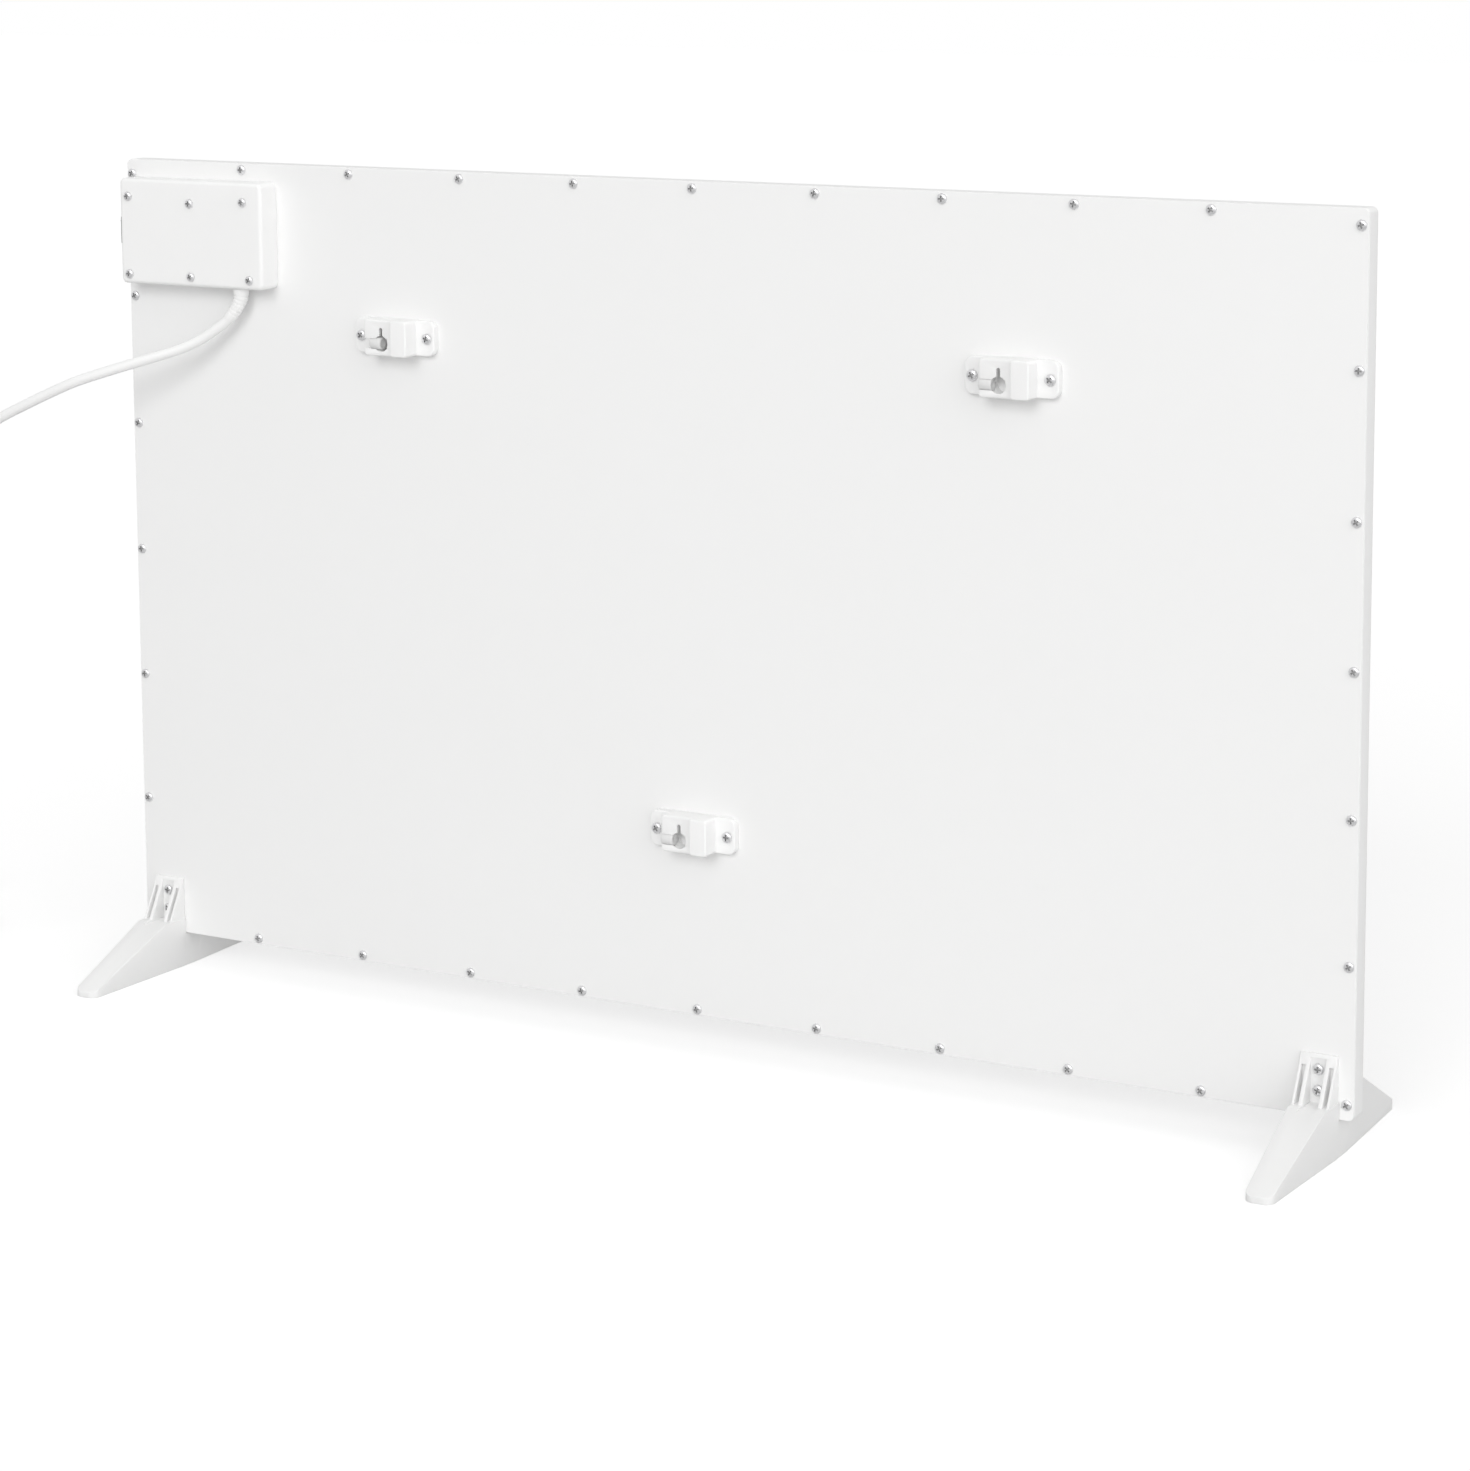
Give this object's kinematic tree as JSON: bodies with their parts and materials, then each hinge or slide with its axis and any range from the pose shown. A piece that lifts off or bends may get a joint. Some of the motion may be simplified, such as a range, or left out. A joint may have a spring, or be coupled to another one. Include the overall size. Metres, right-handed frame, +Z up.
{
  "type": "infrared panel heater",
  "caption": "Slim white infrared panel heater on two slip-on feet, with a rear control box, mains cord and keyhole wall holders with locking pins.",
  "frame": {"origin": "on the floor, under the middle of the heater", "axes": "+X along the panel towards the control box, +Y to the rear, +Z up; the warm face looks along -Y"},
  "size_m": [1.2763, 0.228, 0.63],
  "materials": {
    "white_paint": "satin powder coat",
    "white_moulding": "fine matt moulding",
    "white_cord": "soft satin sheath",
    "zinc": "zinc plate",
    "copper": "bright copper strip",
    "nickel": "nickel plate",
    "carbon_film": "laminated carbon film",
    "aluminium_foil": "bright foil",
    "mineral_board": "pressed mineral fibre",
    "circuit_board": "solder mask",
    "relay_blue": "moulded case",
    "terminal_grey": "moulded nylon",
    "black_rubber": "matt rubber",
    "lead_sleeve": "silicone sleeve",
    "switch_black": "satin moulding"
  },
  "bodies": {
    "heater": {"front_panel": "white_paint", "rear_sheet": "white_paint", "heating_film": "carbon_film", "busbar_top": "copper", "busbar_lower": "copper", "reflector_foil": "aluminium_foil", "insulation_board": "mineral_board", "thermal_cutout": "nickel", "busbar_lead": "lead_sleeve", "cutout_lead": "lead_sleeve", "return_lead": "lead_sleeve", "lead_grommet": "black_rubber", "earth_stud": "zinc", "control_box_base": "white_moulding", "control_box_cover": "white_moulding", "control_board": "circuit_board", "relay": "relay_blue", "terminal_block": "terminal_grey", "cord_tail": "white_cord", "switch_housing": "switch_black", "cord_grip": "white_cord", "power_cord": "white_cord", "cord_coil": "white_cord", "mains_plug": "white_moulding", "box_screw_1": "zinc", "box_screw_2": "zinc", "box_screw_3": "zinc", "box_screw_4": "zinc", "box_screw_5": "zinc", "box_screw_6": "zinc", "base_screw_1": "zinc", "base_screw_2": "zinc", "plug_pin_1": "nickel", "plug_pin_2": "nickel", "wall_holder_1": "white_moulding", "wall_holder_2": "white_moulding", "wall_holder_3": "white_moulding", "holder_screw_1": "zinc", "holder_screw_2": "zinc", "holder_screw_3": "zinc", "holder_screw_4": "zinc", "holder_screw_5": "zinc", "holder_screw_6": "zinc", "foot_1": "white_moulding", "foot_2": "white_moulding", "foot_screw_1": "zinc", "foot_screw_2": "zinc", "foot_screw_3": "zinc", "foot_screw_4": "zinc"},
    "pin_1": {"lock_pin_1": "white_moulding"},
    "pin_2": {"lock_pin_2": "white_moulding"},
    "pin_3": {"lock_pin_3": "white_moulding"},
    "rocker": {"switch_rocker": "switch_black"}
  },
  "joints": [
    {"name": "rocker_tilt", "type": "hinge", "parent": "heater", "child": "rocker", "pos_m": [0.4905, 0.015, 0.577], "axis": [0, 1, 0], "range_deg": [-16, 0]},
    {"name": "pin_1_slide", "type": "slide", "parent": "heater", "child": "pin_1", "axis": [-1, 0, 0], "range_m": [-0.005, 0.005]},
    {"name": "pin_2_slide", "type": "slide", "parent": "heater", "child": "pin_2", "axis": [-1, 0, 0], "range_m": [0, 0.01]},
    {"name": "pin_3_slide", "type": "slide", "parent": "heater", "child": "pin_3", "axis": [-1, 0, 0], "range_m": [0, 0.01]}
  ]
}
